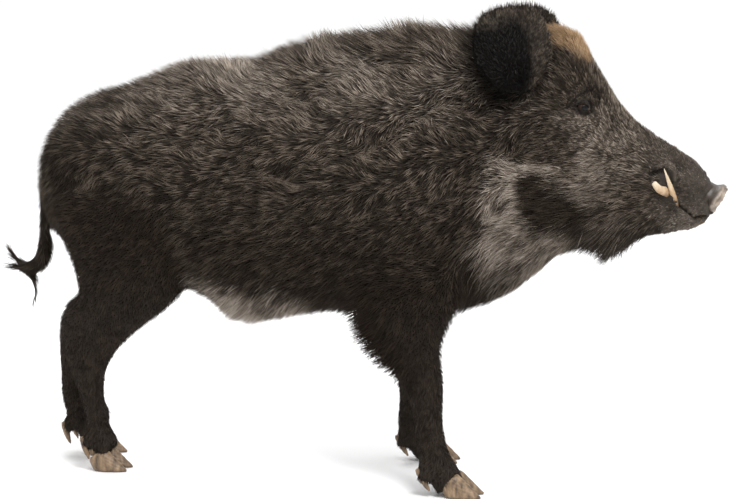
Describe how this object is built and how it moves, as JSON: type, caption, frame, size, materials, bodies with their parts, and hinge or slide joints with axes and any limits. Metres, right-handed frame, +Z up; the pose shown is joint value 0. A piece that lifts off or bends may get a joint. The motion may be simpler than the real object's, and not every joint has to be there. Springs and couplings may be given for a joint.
{
  "type": "wild boar",
  "caption": "Life-size standing wild boar with a high shaggy back, wedge head with short tusks and nose disc, upright ears, cloven hooves with dewclaws and a hanging tail.",
  "frame": {"origin": "centre of the animal's footprint box, at the floor", "axes": "+X towards the head, +Y towards the animal's left side, +Z up"},
  "size_m": [1.3222, 0.3438, 0.8502],
  "materials": {
    "coat": "coarse grizzled bristles over woolly underfur",
    "dark_coat": "dark bristles, short on the shanks",
    "ear_coat": "near-black hair with a brownish fringe",
    "bare_skin": "bare, slightly moist, finely wrinkled skin",
    "hoof": "worn horn, darker at the edges",
    "tusk": "worn ivory, stained at the root",
    "eye": "wet dark brown"
  },
  "bodies": {
    "root": {"trunk": "coat", "neck": "coat", "head": "coat", "jaw": "coat", "snout": "bare_skin", "ear_right": "ear_coat", "ear_left": "ear_coat", "eye_right": "eye", "eye_left": "eye", "tusk_lower_right": "tusk", "tusk_upper_right": "tusk", "tusk_lower_left": "tusk", "tusk_upper_left": "tusk", "tail_base": "dark_coat", "tail_tip": "dark_coat", "fore_right_upper": "dark_coat", "fore_right_lower": "dark_coat", "fore_right_pastern": "dark_coat", "fore_right_hoof_outer": "hoof", "fore_right_hoof_inner": "hoof", "fore_right_dewclaw_outer": "hoof", "fore_right_dewclaw_inner": "hoof", "fore_left_upper": "dark_coat", "fore_left_lower": "dark_coat", "fore_left_pastern": "dark_coat", "fore_left_hoof_outer": "hoof", "fore_left_hoof_inner": "hoof", "fore_left_dewclaw_outer": "hoof", "fore_left_dewclaw_inner": "hoof", "hind_right_upper": "dark_coat", "hind_right_lower": "dark_coat", "hind_right_pastern": "dark_coat", "hind_right_hoof_outer": "hoof", "hind_right_hoof_inner": "hoof", "hind_right_dewclaw_outer": "hoof", "hind_right_dewclaw_inner": "hoof", "hind_left_upper": "dark_coat", "hind_left_lower": "dark_coat", "hind_left_pastern": "dark_coat", "hind_left_hoof_outer": "hoof", "hind_left_hoof_inner": "hoof", "hind_left_dewclaw_outer": "hoof", "hind_left_dewclaw_inner": "hoof"}
  },
  "joints": []
}
